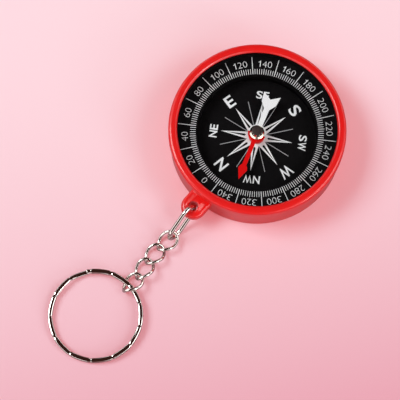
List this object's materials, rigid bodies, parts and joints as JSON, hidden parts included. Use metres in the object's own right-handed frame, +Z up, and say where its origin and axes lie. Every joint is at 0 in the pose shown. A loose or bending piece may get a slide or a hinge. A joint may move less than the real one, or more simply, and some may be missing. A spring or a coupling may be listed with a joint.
{
  "type": "pocket compass",
  "caption": "Round pocket compass with a red moulded case, printed dial, pivoted needle and clear window, hung from a short twisted chain with a split key ring.",
  "frame": {"origin": "centre of the case's underside, on its flat pad", "axes": "+Z up through the window, the chain and key ring run out towards -X"},
  "size_m": [0.096, 0.045, 0.0114],
  "materials": {
    "case_plastic": "glossy moulded red plastic",
    "card": "black printed card, matt",
    "scale_plastic": "matt black with white printing",
    "pin_steel": "ground steel",
    "needle_paint": "painted steel strip, north half red and south half white",
    "cap_metal": "turned, bright",
    "bearing_brass": "turned brass",
    "window": "clear, polished",
    "chain_metal": "nickel-plated wire",
    "ring_metal": "nickel-plated steel strip"
  },
  "bodies": {
    "case": {"case": "case_plastic", "dial_card": "card", "scale_ring": "scale_plastic", "pivot_pin": "pin_steel", "lens": "window"},
    "needle": {"needle_blade": "needle_paint", "needle_cap": "cap_metal", "needle_bearing": "bearing_brass"},
    "eyelet": {"eyelet_link": "chain_metal"},
    "link_1": {"chain_link_1": "chain_metal"},
    "link_2": {"chain_link_2": "chain_metal"},
    "link_3": {"chain_link_3": "chain_metal"},
    "link_4": {"chain_link_4": "chain_metal"},
    "key_ring": {"key_ring": "ring_metal"}
  },
  "joints": [
    {"name": "needle_spin", "type": "hinge", "parent": "case", "child": "needle", "pos_m": [0, 0, 0.0085], "axis": [0, 0, 1], "continuous": true},
    {"name": "eyelet_lift", "type": "hinge", "parent": "case", "child": "eyelet", "pos_m": [-0.02735, -0.00009, 0.0055], "axis": [0.0491, 0.9871, -0.1522], "range_deg": [-45, 60]},
    {"name": "link_1_swing", "type": "hinge", "parent": "eyelet", "child": "link_1", "pos_m": [-0.03384, -0.00031, 0.00176], "axis": [0, 0, 1], "range_deg": [-35, 28]},
    {"name": "link_2_bend", "type": "hinge", "parent": "link_1", "child": "link_2", "pos_m": [-0.0376, 0.00022, 0.00144], "axis": [0, 1, 0], "range_deg": [-32, 28]},
    {"name": "link_3_swing", "type": "hinge", "parent": "link_2", "child": "link_3", "pos_m": [-0.04229, 0.00005, 0.0016], "axis": [0, 0, 1], "range_deg": [-28, 22]},
    {"name": "link_4_bend", "type": "hinge", "parent": "link_3", "child": "link_4", "pos_m": [-0.04692, -0.00076, 0.00176], "axis": [0, 1, 0], "range_deg": [-28, 30]},
    {"name": "key_ring_lift", "type": "hinge", "parent": "link_4", "child": "key_ring", "pos_m": [-0.05015, -0.00039, 0.0018], "axis": [0, 1, 0], "range_deg": [-50, 22]}
  ]
}
